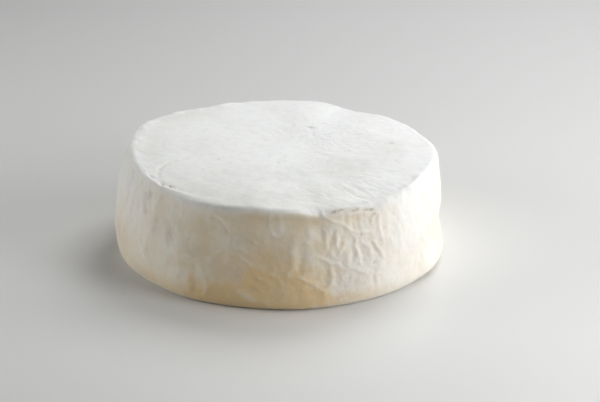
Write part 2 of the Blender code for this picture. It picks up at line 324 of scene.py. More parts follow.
# Families of like folds, each strewn over a part of the rind: the ranges of their angles, and of
# their downs, lengths and reliefs in millimetres, their heading in degrees from straight down the
# wall, and how far that wanders.
Family = namedtuple("Family", "seed count angles downs lengths heading wander reliefs half_width")
FAMILIES = rows(
    Family,
    (11, 22, (10, 42), (9, 46), (3, 7), 4, 20, (0.08, 0.22), 0.9),
    (12, 18, (-30, 18), (14, 52), (4, 10), -20, 40, (0.08, 0.22), 1.4),
    (13, 11, (-86, -44), (6, 36), (14, 30), -4, 6, (0.12, 0.30), 2.2),
    (14, 12, (-44, -6), (24, 54), (5, 12), 30, 40, (0.10, 0.28), 1.7),
    (15, 16, (45, 105), (8, 50), (7, 18), 3, 14, (0.12, 0.35), 1.5),
    (16, 22, (105, 165), (8, 52), (5, 14), 12, 30, (0.12, 0.36), 1.7),
    (17, 20, (165, 225), (8, 52), (4, 11), -8, 34, (0.12, 0.34), 1.9),
    (18, 18, (225, 280), (8, 52), (6, 16), 5, 22, (0.12, 0.32), 1.8),
    (19, 18, (18, 62), (-30, -4), (8, 20), 0, 8, (-0.12, -0.05), 0.9),
    (20, 10, (-50, 10), (-24, -4), (8, 22), 84, 10, (-0.14, -0.05), 1.3),
    (21, 22, (70, 290), (-26, -2), (6, 18), 10, 40, (-0.20, -0.07), 1.2),
)

# How the rim is finished around, in millimetres: the roll along its front and its left, the dark
# hollow under that, and the sharp corner over the flap at the front right.
Patch = namedtuple("Patch", "angle down half_angle half_down amount")
RIM_SHAPES = rows(
    Patch,
    (6, 5.5, 8, 2.4, 0.55),
    (-74, 3.4, 26, 1.8, 0.6),
    (7, 4.4, 7, 1.3, 0.5),
    (7, 7.2, 8, 1.6, -0.4),
    (-14, 3.0, 20, 3.0, 0.25),
    (-11, 9.0, 22, 4.5, -0.85),
    (25, 4.5, 12, 2.0, 0.45),
    (-170, 3.0, 26, 3.0, 0.4),
)

# Patches where the rind is crumpled, from 0 to 1. Their downs are in millimetres. Then the relief,
# width and height of the crumple in metres, its least share, how thin its ridges are, and where its
# two noises are read.
CRUMPLED = rows(
    Patch,
    (27, 22, 6, 13, 0.85),
    (25, 42, 8, 7, 0.7),
    (39, 15, 6, 12, 0.6),
    (8, 31, 12, 14, 0.2),
    (-36, 22, 5, 5, 0.8),
    (-62, 19, 14, 14, 0.35),
    (75, 27, 20, 16, 0.3),
    (122, 23, 14, 17, 0.8),
    (172, 27, 13, 16, 0.7),
    (-150, 21, 12, 15, 0.6),
    (-112, 29, 14, 15, 0.6),
)
CRUMPLE_RELIEF = 0.00032
CRUMPLE_WIDTH = 0.0030
CRUMPLE_HEIGHT = 0.0075
CRUMPLE_EVERYWHERE = 0.16
CRUMPLE_SHARPNESS = 3.2
BROAD_CRUMPLE_PLACE = Vector((1.7, 4.2, 0.3))
NARROW_CRUMPLE_PLACE = Vector((6.1, 2.8, 9.5))

# The unevenness of the whole rind: the lumps that the solid has too, the scallops and the crust
# along the rim, then mounds, ripples and grain.
LUMP_SIZE = 0.024
LUMP_PLACE = Vector((3.1, 8.4, 5.7))
WALL_LUMP = 0.0009
TOP_LUMP = 0.0006
SCALLOP_SIZE = 0.013
SCALLOP_DEPTH = 0.0009
SCALLOP_HALF_WIDTH = 0.0050
CRUST_SIZE = 0.0062
CRUST_PLACE = Vector((9.2, 4.1, 6.6))
CRUST_DEPTH = 0.0006
CRUST_HALF_WIDTH = 0.0040
MOUND_SIZE = 0.0085
MOUND_PLACE = Vector((7.7, 1.2, 3.4))
WALL_MOUND = 0.00030
TOP_MOUND = 0.00016
RIPPLE_SIZE = 0.0046
RIPPLE_PLACE = Vector((5.1, 3.3, 0.7))
WALL_RIPPLE = 0.00011
TOP_RIPPLE = 0.00007
GRAIN_SIZE = 0.0026
GRAIN_PLACE = Vector((2.6, 5.9, 8.8))
WALL_GRAIN = 0.00009
TOP_GRAIN = 0.00007

# Relief fades to nothing below this height, so that the base stays flat.
CALM_HEIGHT = 0.0060

# How far the fine relief lies below its surroundings in a full hollow, and how the surroundings
# are found: the rings and steps on each side that count, and how often they are averaged.
HOLLOW_DEPTH = 0.0004
HOLLOW_REACH = 3
HOLLOW_ROUNDS = 2

# The map that the finish can be baked onto, and the numbers of the colour sockets of a Mix node,
# several of which share a name.
BAKE_MAP = "OFBake"
MIX_SHARE, MIX_FIRST, MIX_SECOND, MIX_RESULT = 0, 6, 7, 2

# The soft noises that break up the tints: their size in metres, their detail and their roughness.
Cloud = namedtuple("Cloud", "size detail roughness")
CLOUDS = Cloud(0.014, 4, 0.55)
MOTTLE = Cloud(0.0042, 5, 0.60)
FELT = Cloud(0.0014, 4, 0.62)
FUZZ = Cloud(0.0005, 3, 0.60)
PEBBLES = Cloud(0.0026, 2, 0.50)
FLOOR_CLOUDS = Cloud(0.30, 3, 0.50)

# Where the bloom is thin: what each noise counts for, where their sum starts to tell and where it
# tells fully, and the share of the ivory, with the painted warm shade it carries, that shows in
# thick bloom and what thin bloom adds.
THIN_CLOUDS = 0.80
THIN_MOTTLE = 0.35
THIN_FELT = 0.12
THIN_RANGE = (0.44, 0.84)
THICK_IVORY_AND_SHADE = 0.75
THIN_IVORY_AND_SHADE = 0.55

# How the ochre, which is partly painted warm bounce light, and the worn patches, which are partly
# painted shade, are broken up, and how strong the ochre is.
OCHRE_AND_BOUNCE_EVEN = 0.45
OCHRE_AND_BOUNCE_MOTTLE = 1.1
OCHRE_AND_BOUNCE_RANGE = (0.06, 0.90)
OCHRE_AND_BOUNCE_STRENGTH = 0.85
WORN_AND_SHADE_MOTTLE = 0.6
WORN_AND_SHADE_FELT = 0.5
WORN_AND_SHADE_RANGE = (0.10, 0.62)

# The speckles of worn grey: fine ones all over, with more of them on the top, and coarser ones on
# the top alone.
FINE_SPECKLE_RANGE = (0.52, 0.75)
FINE_SPECKLE = 0.25
FINE_SPECKLE_TOP = 0.10
COARSE_SPECKLE_RANGE = (0.48, 0.66)
COARSE_SPECKLE = 0.16

# How dark the hollows of the folds turn as painted shade, less so on the top, and how white the
# ridges between them.
CREASE_SHADE_RANGE = (0.15, 1.0)
CREASE_SHADE = 0.36
CREASE_SHADE_TOP = 0.24
RIDGE_RANGE = (-0.1, -0.9)
RIDGE_BLOOM = 0.3

# How the smudges, the painted shade among them, and the dashes are broken up.
MARK_EVEN = 0.4
MARK_BROKEN = 0.6
SMUDGE_AND_SHADE_RANGE = (0.30, 0.55)
DASH_RANGE = (0.30, 0.60)

# The roughness of the rind, and the heights that make up its felt.
RIND_ROUGHNESS = 0.70
FELT_ROUGHNESS = 0.18
OCHRE_AND_BOUNCE_SMOOTHNESS = 0.06
FELT_HEIGHT = 0.6
FUZZ_HEIGHT = 0.4
ROUGH_HEIGHT = 0.6
PEBBLE_HEIGHT = 0.7

# The finish of the rind that is the same all over.
RIND_FINISH = {
    "Subsurface Weight": 0.25,
    "Subsurface Radius": (1.0, 0.75, 0.5),
    "Subsurface Scale": 0.004,
    "IOR": 1.4,
    "Specular IOR Level": 0.3,
    "Sheen Weight": 0.15,
    "Sheen Roughness": 0.5,
}

# The stage: a round floor that curves up far away, its finish, and where the camera and the lamps
# stand. The azimuth of a lamp is counted as the angles around the wheel are.
FLOOR_FLAT_RADIUS = 2.4
FLOOR_RIM_RADIUS = 3.4
FLOOR_RIM_HEIGHT = 1.0
FLOOR_STEPS = 96
FLOOR_CURVE_STEPS = 16
FLOOR_CLOUDINESS = 0.25
FLOOR_ROUGHNESS = 0.42
FLOOR_CLOUD_ROUGHNESS = 0.08
SKY_COLOUR = (1.0, 1.0, 1.0, 1.0)
CAMERA_PLACE = (0.0125, -1.0012, 0.4369)
CAMERA_DIP = math.radians(22.36)
CAMERA_LENS = 111.96
CAMERA_SENSOR = 36.0
Lamp = namedtuple("Lamp", "name azimuth elevation distance size power colour")
LAMPS = rows(
    Lamp,
    ("side_key", 95, 18, 0.90, 0.40, 2.95, (1.0, 1.0, 0.99)),
    ("front_key", 60, 22, 1.00, 0.40, 3.8, (1.0, 1.0, 0.99)),
    ("back_light", 150, 50, 1.10, 0.60, 6.4, (0.99, 1.0, 1.0)),
    ("high_light", 60, 60, 0.50, 0.30, 0.4, (0.99, 1.0, 1.0)),
    ("fill_light", -85, 22, 0.90, 0.40, 3.0, (1.0, 1.0, 0.97)),
)

# Where the bloom is thin and the ivory rind shows through, with painted warm shade on the front of
# the wall; where the rind takes an ochre tint, with painted warm bounce light low on the wall; and
# where the top is worn grey, with painted shade that darkens the top towards its front and left.
# Patches add up, those below 0 take away again, and the sum counts from 0 to 1. Their downs are in
# millimetres.
IVORY_EVERYWHERE = 0.47
# The ivory patches are thin bloom, and on the front of the wall they are also painted warm shade.
IVORY_AND_SHADE_PATCHES = rows(
    Patch,
    (16, 22, 6, 11, 0.22),
    (0, 8, 18, 5, 0.40),
    (-10, 34, 26, 34, 0.50),
    (-18, 23, 13, 13, 0.64),
    (-27, 36, 7, 8, 0.25),
    (-36, 14, 22, 9, 0.30),
    (-8, 36, 16, 10, -0.22),
    (-31, 22, 8, 9, -0.34),
    (-14, 12, 8, 14, 0.30),
    (26, 4, 12, 6, 0.28),
    (-14, 52, 20, 10, -0.40),
    (-2, 41, 7, 7, -0.40),
    (2, 56, 26, 12, -0.38),
    (24, 48, 8, 12, -0.22),
    (24, 27, 7, 8, -0.10),
    (50, 22, 14, 26, -0.25),
    (46, 3, 9, 7, -0.18),
    (-82, 12, 18, 14, -0.35),
    (-78, 44, 22, 12, 0.25),
    (130, 40, 30, 20, 0.30),
    (-140, 40, 30, 20, 0.35),
)
# The ochre patches are the rind's own tint, and low on the wall they are also painted warm bounce
# light.
OCHRE_AND_BOUNCE_PATCHES = rows(
    Patch,
    (-8, 56, 38, 6, 0.75),
    (-54, 49, 24, 12, 0.32),
    (-8, 45, 20, 12, 0.34),
    (10, 40, 8, 8, 0.25),
    (26, 48, 10, 9, 0.25),
    (-8.3, 41.6, 5, 7, 0.55),
    (-2.3, 42.5, 5, 8, 0.34),
    (5.3, 35.0, 6, 6, 0.25),
    (5.2, 46.1, 5, 6, 0.4),
    (11.2, 50.1, 3.5, 5, 0.4),
    (-17.1, 49.2, 8, 6, 0.4),
    (-10.6, 31.2, 9, 9, 0.25),
    (-30.4, 44.4, 1.2, 9, 0.35),
    (-25.3, 49.8, 8, 6, 0.25),
    (13.5, 41.9, 2.0, 6, 0.1),
    (-1.9, 22.5, 7, 9, 0.34),
    (3.1, 29.8, 5, 7, 0.22),
    (20.0, 1.9, 6, 2.2, 0.3),
    (27.2, 3.2, 5, 2.2, 0.2),
    (16.8, 36.0, 3, 3, 0.25),
    (5.1, 6.4, 7, 4, 0.3),
    (-9.6, 6.4, 10, 4, 0.2),
    (130, 54, 20, 8, 0.50),
    (185, 54, 16, 8, 0.60),
    (-120, 54, 18, 8, 0.50),
)
# The worn patches are worn bloom, and painted shade on the top towards its front and left.
WORN_AND_SHADE_PATCHES = rows(
    Patch,
    (-25, -8, 42, 16, 0.9),
    (20, -20, 14, 12, 0.5),
    (-85, -9, 22, 10, 0.45),
    (95, -22, 14, 8, 0.3),
    (-132, -3, 20, 10, 0.45),
    (-120, -14, 30, 16, 0.35),
    (-96, -38, 30, 16, 0.35),
    (-36, -38, 30, 16, 0.45),
    (-20, 1.0, 16, 3, 0.5),
    (12, -8, 14, 6, -0.3),
    (22, -2, 14, 9, 0.55),
    (52, -8, 20, 7, -0.25),
    (24, -50, 30, 16, 0.35),
    (60, -38, 30, 16, 0.5),
    (112, -38, 26, 14, 0.15),
)

# Where the bloom is rough and stands up in coarse grains, and how thick the crust of the rim is:
# the same share all round, and what the patches add.
ROUGH_PATCHES = rows(
    Patch,
    (-37, 23, 6, 8, 2.2),
    (-20, 30, 9, 9, 0.8),
    (-75, 20, 12, 14, 0.5),
    (-60, -3, 22, 5, 1.5),
    (-100, -2, 24, 6, 1.5),
    (150, -50, 36, 13, 1.9),
    (110, -62, 50, 14, 2.0),
    (120, -30, 24, 12, 1.5),
    (40, -12, 14, 8, 1.0),
    (150, 24, 16, 14, 1.0),
)
CRUST_EVERYWHERE = 0.4
CRUST_PATCHES = rows(
    Patch,
    (-122, 0, 34, 6, 1.8),
    (-70, 0, 22, 6, 0.6),
    (50, 0, 10, 6, 0.8),
    (120, 0, 40, 6, 0.4),
)

# Grey smudges and brown dashes: where they are, their half-lengths around and down in millimetres,
# and how dark they are. The small smudges lie on the top and at the rim; the last, broad and faint
# ones are painted shade that darkens the rim and the wall where they lie in shade. The dashes lie
# under the rim at the front right, and in its crust at the left.
Mark = namedtuple("Mark", "angle down half_around half_down amount")
SMUDGES_AND_SHADE = rows(
    Mark,
    (-69.1, -46.0, 0.9, 0.6, 0.4),
    (-57.5, -50.0, 1.0, 0.5, 0.4),
    (-9.2, -68.2, 0.9, 0.6, 0.6),
    (158.0, -42.9, 3.2, 1.0, 0.7),
    (154.0, -33.0, 2.4, 0.5, 0.4),
    (172.1, -41.8, 0.8, 0.6, 0.4),
    (101.7, -22.1, 2.2, 1.8, 0.4),
    (74.7, -19.8, 0.7, 0.9, 0.8),
    (50.0, 0.5, 0.9, 0.7, 0.25),
    (56.7, -1.0, 0.9, 0.6, 0.18),
    (52.4, -6.0, 0.6, 0.5, 0.35),
    (46.8, 2.3, 0.5, 0.8, 0.25),
    (-61.8, -5.3, 0.8, 1.2, 0.22),
    (-66.7, -8.6, 0.8, 1.2, 0.25),
    (-70.1, -12.9, 0.9, 1.0, 0.25),
    (-71.7, -16.6, 0.9, 1.0, 0.22),
    (-73.9, -20.9, 0.9, 1.0, 0.22),
    (-74.0, -24.4, 0.9, 1.0, 0.15),
    (2.5, -76.6, 0.5, 0.5, 0.4),
    (-43.0, -8.6, 0.5, 0.5, 0.4),
    (-44.4, -14.0, 0.4, 0.5, 0.35),
    (-38.7, -7.6, 0.6, 0.4, 0.35),
    (-56.1, -30.3, 1.6, 0.4, 0.3),
    (89.7, -48.6, 1.5, 0.5, 0.25),
    (-23.5, -26.5, 0.5, 0.4, 0.3),
    (52.9, -31.5, 1.2, 0.4, 0.25),
    # Painted shade: broad, faint grey on the rim and the wall, where they lie in shade.
    (-14.9, 19.3, 8, 7, 0.2),
    (-20.2, 3.0, 16, 1.6, 0.3),
    (0.6, 1.8, 6, 1.4, 0.25),
    (28.1, -2.4, 9, 2, 0.25),
    (36.0, 4.6, 3, 1.5, 0.2),
    (50.1, 2.9, 2.5, 3, 0.3),
    (15.3, 12.2, 4, 3, 0.22),
    (-55.8, 10.5, 2.2, 3.5, 0.25),
    (-48.9, 25.0, 1.8, 5, 0.28),
    (-40.9, 22.7, 1.4, 4, 0.25),
    (-71.5, 8.1, 1.2, 2.5, 0.25),
    (-42.8, 24.1, 5, 6, 0.15),
    (-30.3, 28.7, 6, 4, 0.2),
    (-14.4, 37.3, 5, 4, 0.18),
    (-1.3, 23.4, 3, 7, 0.12),
    (16.2, 29.9, 3, 3, 0.25),
    (31.6, 36.4, 2.5, 7, 0.28),
    (41.1, 23.7, 2, 9, 0.2),
)
DASHES = rows(
    Mark,
    (24.5, 2.0, 15, 1.6, 0.34),
    (17.2, 3.4, 2.0, 0.7, 0.5),
    (18.6, 2.9, 2.0, 0.6, 0.7),
    (20.2, 2.4, 1.0, 0.5, 0.5),
    (21.0, 5.4, 0.5, 2.0, 0.3),
    (24.7, 3.4, 1.8, 0.6, 0.7),
    (26.5, 2.7, 1.5, 0.5, 0.6),
    (29.7, 3.4, 1.8, 0.7, 0.6),
    (31.9, 3.6, 1.6, 0.8, 0.9),
    (32.5, 6.1, 0.6, 0.6, 0.5),
    (31.6, 7.2, 0.6, 0.6, 0.5),
    (26.6, 17.3, 0.4, 1.0, 0.7),
    (30.3, 34.2, 0.5, 1.2, 0.4),
    (28.6, 5.4, 0.6, 1.2, 0.3),
    (-52.6, 0.0, 1.4, 0.5, 1.0),
    (-48.9, -2.3, 1.2, 0.5, 0.9),
    (-60.0, 0.7, 0.8, 0.4, 0.2),
    (-72.6, 6.4, 1.2, 0.9, 0.3),
    (-62.4, 6.4, 0.9, 0.8, 0.35),
)


def bump(offset, half_width):
    """A soft bump: 1 where the offset is 0, fading out past the half-width."""
    return np.exp(-((offset / half_width) ** 2))


def ramp(value, end):
    """A soft ramp from 0 at 0 to 1 at the end."""
    share = np.clip(value / end, 0, 1)
    return share * share * (3 - 2 * share)


def angle_between(angle, other):
    """The degrees from one angle to another, the short way round."""
    return (angle - other + 180) % 360 - 180


def swell_sum(swells, angle):
    """What all the swells of one kind add at the angles."""
    return sum(
        swell.amount * bump(angle_between(angle, swell.angle), swell.half_width)
        for swell in swells
    )


def patch_sum(patches, rind):
    """The sum of the patches all over the rind."""
    return sum(
        patch.amount
        * bump(angle_between(rind.angle, patch.angle), patch.half_angle)
        * bump(rind.down - patch.down * MILLIMETRE, patch.half_down * MILLIMETRE)
        for patch in patches
    )


def curved_run(start, start_handle, end_handle, end, count):
    """The points of one smooth stretch of the section, after its start."""
    run = (start, start_handle, end_handle, end)
    stops = [Vector((radius, 0, height)) for radius, height in run]
    points = geometry.interpolate_bezier(*stops, count + 1)
    return [(point.x, point.z) for point in points[1:]]


def wheel_section():
    """Half of the section, from the middle of the top down its outer side to the base's middle."""
    floor_of_dish = RIM_HEIGHT - DISH_DEPTH
    middle = (0, floor_of_dish)
    lip = (LIP_RADIUS, RIM_HEIGHT)
    shoulder = (RIM_RADIUS + SHOULDER_LEAN, RIM_HEIGHT - SHOULDER_DROP)
    belly = (BELLY_RADIUS, BELLY_HEIGHT)
    foot = (BELLY_RADIUS - BASE_ROUNDING, 0)
    points = [middle]
    points += curved_run(
        middle, (LIP_RADIUS / 2, floor_of_dish), (DISH_RADIUS, RIM_HEIGHT), lip, TOP_RINGS)
    points += curved_run(
        lip,
        (LIP_RADIUS + SHOULDER_SOFTNESS, RIM_HEIGHT),
        (RIM_RADIUS, RIM_HEIGHT - SHOULDER_CORNER),
        shoulder,
        SHOULDER_RINGS,
    )
    points += curved_run(
        shoulder,
        (RIM_RADIUS + WALL_SWELL, RIM_HEIGHT - WALL_SWELL_DROP),
        (BELLY_RADIUS, 2 * BELLY_HEIGHT),
        belly,
        WALL_RINGS,
    )
    points += curved_run(
        belly, (BELLY_RADIUS, BELLY_HEIGHT / 2), (BELLY_RADIUS - BASE_TUCK, 0), foot, FOOT_RINGS)
    points += [(foot[0] * (1 - ring / BASE_RINGS), 0) for ring in range(1, BASE_RINGS + 1)]
    return np.array(points)


class Rind:
    """The rind as it leaves the mould: the rings of the turned section, then its two middles."""

    def __init__(self):
        section = wheel_section()
        steps = np.diff(section, axis=0, prepend=section[:1])
        way = np.cumsum(np.hypot(steps[:, 0], steps[:, 1]))
        self.way = way / way[-1]
        self.ring_count = len(section) - 2
        turn = np.arange(STEPS_AROUND) * 360 / STEPS_AROUND
        self.angle = np.append(np.tile(turn, self.ring_count), (0, 0))
        self.radius = self.spread_out(section[:, 0])
        self.height = self.spread_out(section[:, 1])
        self.down = self.spread_out(way - way[TOP_RINGS])

    def spread_out(self, along):
        """Values along the section, given to every place of the rind."""
        return np.append(np.repeat(along[1:-1], STEPS_AROUND), (along[0], along[-1]))

    def settled(self):
        """The place of every point once the wheel has settled."""
        rise = self.height / RIM_HEIGHT
        rim_spread = swell_sum(RIM_SPREADS, self.angle)
        foot_spread = swell_sum(FOOT_SPREADS, self.angle)
        spread = rise * rim_spread + (1 - rise) * foot_spread
        radius = self.radius * (1 + spread / BELLY_RADIUS)
        reach = np.minimum(self.radius / RIM_RADIUS, 1)
        lift = swell_sum(RIM_LIFTS, self.angle) + swell_sum(FINER_RIM_LIFTS, self.angle)
        height = self.height + rise * reach ** LIFT_POWER * lift
        around = np.radians(self.angle)
        return np.stack([radius * np.sin(around), -radius * np.cos(around), height], axis=1)

    def waver(self, places):
        """Shift every place a little over the rind, so that what is drawn there comes out wavy."""
        around = WAVER * noise_at(places, WAVER_SIZE, WAVER_AROUND_PLACE)
        across = WAVER * noise_at(places, WAVER_SIZE, WAVER_ACROSS_PLACE)
        self.wavy_angle = self.angle + np.degrees(around / np.maximum(self.radius, LEAST_RADIUS))
        self.wavy_down = self.down + across
        self.vigour = noise_at(places, VIGOUR_SIZE, VIGOUR_PLACE)

    def faces(self):
        """The faces between the rings, then the fans round the middles of the top and the base."""
        step = np.arange(STEPS_AROUND)
        after = np.roll(step, -1)
        inner = np.arange(self.ring_count - 1)[:, None] * STEPS_AROUND
        outer = inner + STEPS_AROUND
        between = np.stack([inner + step, outer + step, outer + after, inner + after], axis=-1)
        middles = self.ring_count * STEPS_AROUND
        last = middles - STEPS_AROUND
        pairs = list(zip(step.tolist(), after.tolist()))
        top = [(middles, here, there) for here, there in pairs]
        base = [(last + there, last + here, middles + 1) for here, there in pairs]
        return between.reshape(-1, 4).tolist() + top + base

    def unrolled(self):
        """The flat place of every corner of every face: the turn across, the section along."""
        shape = (self.ring_count - 1, STEPS_AROUND)
        here = np.arange(STEPS_AROUND)
        upper = self.way[1:-2, None]
        lower = self.way[2:-1, None]
        whole = np.ones(STEPS_AROUND)
        first = self.way[1] * whole
        last = self.way[-2] * whole
        across = (
            [np.broadcast_to(corner, shape) for corner in (here, here, here + 1, here + 1)],
            [here + 0.5, here, here + 1],
            [here + 1, here, here + 0.5],
        )
        along = (
            [np.broadcast_to(corner, shape) for corner in (upper, lower, lower, upper)],
            [0 * whole, first, first],
            [last, last, whole],
        )
        across, along = (
            np.concatenate([np.stack(corners, axis=-1).reshape(-1) for corners in groups])
            for groups in (across, along)
        )
        return np.stack([across / STEPS_AROUND, 1 - along], axis=1)

    def softened(self, values, reach, rounds):
        """The values smoothed over the neighbouring rings and steps."""
        grid = values[:-2].reshape(self.ring_count, STEPS_AROUND)
        count = 2 * reach + 1
        for _ in range(rounds):
            grid = sum(np.roll(grid, shift - reach, axis=1) for shift in range(count)) / count
            padded = np.pad(grid, ((reach, reach), (0, 0)), mode="edge")
            grid = sum(padded[shift:shift + self.ring_count] for shift in range(count)) / count
        return np.append(grid.reshape(-1), values[-2:])


def smooth_route(stops):
    """A route's stops in metres, with more stops between them on a smooth curve."""
    points = np.array([(angle, down * MILLIMETRE) for angle, down in stops])
    ends = np.vstack([2 * points[0] - points[1], points, 2 * points[-1] - points[-2]])
    route = [points[0]]
    for before, start, end, after in zip(ends, ends[1:], ends[2:], ends[3:]):
        for share in np.linspace(0, 1, ROUTE_PIECES + 1)[1:]:
            pull = end - before
            bend = 2 * before - 5 * start + 4 * end - after
            turn = 3 * start - 3 * end + after - before
            route.append(start + (pull * share + bend * share ** 2 + turn * share ** 3) / 2)
    return np.array(route)


def add_fold(relief, rind, fold, unevenness):
    """Add one fold or crease to the relief, uneven along its way and fading out at both ends."""
    route = smooth_route(fold.stops)
    half_width = fold.half_width * MILLIMETRE
    margin = FOLD_REACH * half_width * (1 + abs(fold.lean))
    middle = (route[:, 0].min() + route[:, 0].max()) / 2
    half_angle = (route[:, 0].max() - route[:, 0].min()) / 2
    from_middle = angle_between(rind.wavy_angle, middle)
    aside = rind.radius * np.radians(np.maximum(np.abs(from_middle) - half_angle, 0))
    near = (aside < margin) & (np.abs(from_middle) < half_angle + NEAR_ANGLE)
    near &= rind.wavy_down > route[:, 1].min() - margin
    near &= rind.wavy_down < route[:, 1].max() + margin
    near = np.flatnonzero(near)
    radius = rind.radius[near]
    angle = from_middle[near]
    down = rind.wavy_down[near]
    nearest = np.full(len(near), np.inf)
    side = np.zeros(len(near))
    along = np.zeros(len(near))
    pieces = len(route) - 1
    for piece in range(pieces):
        start_across = radius * np.radians(route[piece, 0] - middle - angle)
        start_down = route[piece, 1] - down
        run_across = radius * np.radians(route[piece + 1, 0] - route[piece, 0])
        run_down = route[piece + 1, 1] - route[piece, 1]
        length = np.maximum(run_across ** 2 + run_down ** 2, TINY)
        share = np.clip(-(start_across * run_across + start_down * run_down) / length, 0, 1)
        across = start_across + share * run_across
        below = start_down + share * run_down
        distance = np.hypot(across, below)
        closer = distance < nearest
        nearest = np.where(closer, distance, nearest)
        side = np.where(closer, np.sign(run_across * below - run_down * across), side)
        along = np.where(closer, (piece + share) / pieces, along)
    width = half_width * (1 + side * fold.lean)
    ends = ramp(along + FOLD_END, 2 * FOLD_END) * ramp(1 - along + FOLD_END, 2 * FOLD_END)
    strength = fold.relief * MILLIMETRE * ends * (1 + unevenness * rind.vigour[near])
    relief[near] += strength * bump(nearest, width)


def strewn_folds(family):
    """The folds of one family, each a short wandering route."""
    chance = random.Random(family.seed)
    for _ in range(family.count):
        angle = chance.uniform(*family.angles)
        down = chance.uniform(*family.downs)
        length = chance.uniform(*family.lengths)
        heading = math.radians(family.heading + chance.gauss(0, family.wander))
        radius = (LIP_RADIUS + min(down, 0) * MILLIMETRE) / MILLIMETRE
        stops = []
        for _ in range(STREWN_STOPS):
            stops.append((angle, down))
            angle += math.degrees(length / STREWN_STOPS * math.sin(heading) / radius)
            down += length / STREWN_STOPS * math.cos(heading)
            heading += chance.gauss(0, STREWN_BEND)
        relief = chance.uniform(*family.reliefs)
        lean = chance.uniform(-STREWN_LEAN, STREWN_LEAN)
        yield Fold(relief, family.half_width, stops, lean)


def noise_at(places, size, shift=Vector()):
    """Soft noise of one size at every place, from about -1 to 1."""
    return np.array([noise.noise(Vector(place) + shift) for place in places / size])


def crumple_at(places, width, height, shift):
    """Thin ridges of crumpled skin, taller than wide, from 0 to 1."""
    veins = noise_at(places / (width, width, height), 1.0, shift)
    return np.clip(1 - np.abs(veins) * CRUMPLE_SHARPNESS, 0, 1) ** 2


def coarse_relief(rind, places, top_share):
    """How far lumps, bulges and the finish of the rim stand out of the smooth settled wheel."""
    wall_share = 1 - top_share
    lump = WALL_LUMP * wall_share + TOP_LUMP * top_share
    relief = noise_at(places, LUMP_SIZE, LUMP_PLACE) * lump
    for bulge in BULGES:
        around = bump(angle_between(rind.angle, bulge.angle), bulge.half_angle)
        up = bump(places[:, 2] - bulge.height, bulge.half_height)
        relief += wall_share * bulge.amount * around * up
    relief += patch_sum(RIM_SHAPES, rind) * MILLIMETRE
    from_rim = np.hypot(places[:, 0], places[:, 1]) - RIM_RADIUS
    scalloped = top_share * bump(from_rim, SCALLOP_HALF_WIDTH)
    relief += SCALLOP_DEPTH * noise_at(places, SCALLOP_SIZE) * scalloped
    crusted = CRUST_EVERYWHERE + patch_sum(CRUST_PATCHES, rind)
    crusted *= bump(rind.down, CRUST_HALF_WIDTH)
    return relief + CRUST_DEPTH * noise_at(places, CRUST_SIZE, CRUST_PLACE) * crusted


def fine_relief(rind, places, top_share):
    """How far folds, crumple, mounds, ripples and grain stand out of the coarse form."""
    wall_share = 1 - top_share
    relief = np.zeros(len(places))
    for fold in FOLDS:
        add_fold(relief, rind, fold, FOLD_UNEVENNESS)
    for family in FAMILIES:
        for fold in strewn_folds(family):
            add_fold(relief, rind, fold, STREWN_UNEVENNESS)
    crumpled = (CRUMPLE_EVERYWHERE + patch_sum(CRUMPLED, rind)) * wall_share
    broad = crumple_at(places, CRUMPLE_WIDTH, CRUMPLE_HEIGHT, BROAD_CRUMPLE_PLACE)
    narrow = crumple_at(places, CRUMPLE_WIDTH / 2, CRUMPLE_HEIGHT / 2, NARROW_CRUMPLE_PLACE)
    relief += CRUMPLE_RELIEF * crumpled * (broad + narrow / 2)
    mound = WALL_MOUND * wall_share + TOP_MOUND * top_share
    rough = 1 + patch_sum(ROUGH_PATCHES, rind)
    ripple = WALL_RIPPLE * wall_share + TOP_RIPPLE * top_share * rough
    grain = (WALL_GRAIN * wall_share + TOP_GRAIN * top_share) * rough
    relief += noise_at(places, MOUND_SIZE, MOUND_PLACE) * mound
    relief += noise_at(places, RIPPLE_SIZE, RIPPLE_PLACE) * ripple
    return relief + noise_at(places, GRAIN_SIZE, GRAIN_PLACE) * grain


def spots(rind, marks):
    """The marks on the rind, from 0 to 1."""
    total = np.zeros(len(rind.angle))
    for mark in marks:
        turn = np.radians(angle_between(rind.wavy_angle, mark.angle))
        around = rind.radius * turn / MILLIMETRE
        along = rind.wavy_down / MILLIMETRE - mark.down
        total += mark.amount * bump(around, mark.half_around) * bump(along, mark.half_down)
    return np.minimum(total, 1)


def paint(mesh, name, values):
    """Keep one number for every point of the mesh, for its material to read."""
    layer = mesh.attributes.new(name, "FLOAT", "POINT")
    layer.data.foreach_set("value", values.astype(np.float32))


